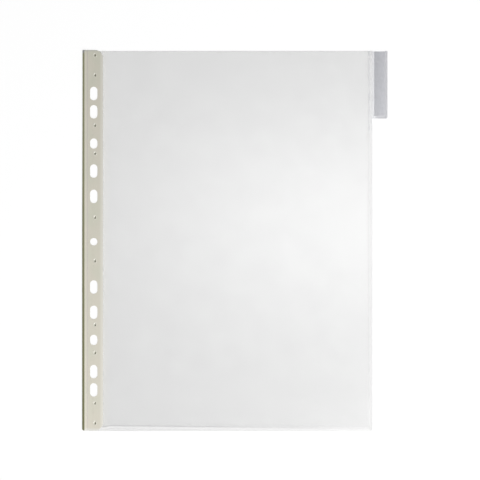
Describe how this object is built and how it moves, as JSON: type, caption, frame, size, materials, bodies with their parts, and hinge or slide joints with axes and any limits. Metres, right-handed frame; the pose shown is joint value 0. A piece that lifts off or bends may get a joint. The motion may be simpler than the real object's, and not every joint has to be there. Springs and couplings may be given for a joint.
{
  "type": "document display panel",
  "caption": "Clear welded document pocket on a folded, punched binding strip, with a crease to turn it by and a labelled index tab.",
  "frame": {"origin": "middle of the whole panel's outline, at the height of the table that it lies on", "axes": "+X across the page from the binding strip to the tab, +Y up the page to the pocket's mouth, +Z out of the front face"},
  "size_m": [0.2472, 0.3086, 0.0026],
  "materials": {
    "cream_plastic": "satin cream polypropylene, slightly translucent",
    "fused_cream_plastic": "fused cream polypropylene, smooth",
    "clear_film": "clear film with a soft sheen",
    "fused_film": "fused clear film",
    "clear_tab_plastic": "clear rigid plastic",
    "fused_tab_plastic": "fused clear rigid plastic",
    "label_card": "grey card, matt"
  },
  "bodies": {
    "strip": {"binding_strip": "cream_plastic", "back_film_margin": "clear_film", "front_film_margin": "clear_film", "weld_stud_01": "fused_cream_plastic", "weld_stud_02": "fused_cream_plastic", "weld_stud_03": "fused_cream_plastic", "weld_stud_04": "fused_cream_plastic", "weld_stud_05": "fused_cream_plastic", "weld_stud_06": "fused_cream_plastic", "weld_stud_07": "fused_cream_plastic", "weld_stud_08": "fused_cream_plastic", "weld_stud_09": "fused_cream_plastic", "weld_stud_10": "fused_cream_plastic"},
    "pocket": {"back_film": "clear_film", "front_film": "clear_film", "inner_seam": "fused_film", "side_seam": "fused_film", "bottom_seam": "fused_film", "tab_back_wall": "clear_tab_plastic", "tab_front_wall": "clear_tab_plastic", "tab_root_seam": "fused_tab_plastic", "tab_side_seam": "fused_tab_plastic", "tab_bottom_seam": "fused_tab_plastic"},
    "label": {"tab_label": "label_card"}
  },
  "joints": [
    {"name": "pocket_turn", "type": "hinge", "parent": "strip", "child": "pocket", "pos_m": [-0.1036, 0, 0.0007], "axis": [0, -1, 0], "range_deg": [-150, 150]},
    {"name": "label_slide", "type": "slide", "parent": "pocket", "child": "label", "axis": [0, 1, 0], "range_m": [0, 0.056]}
  ]
}
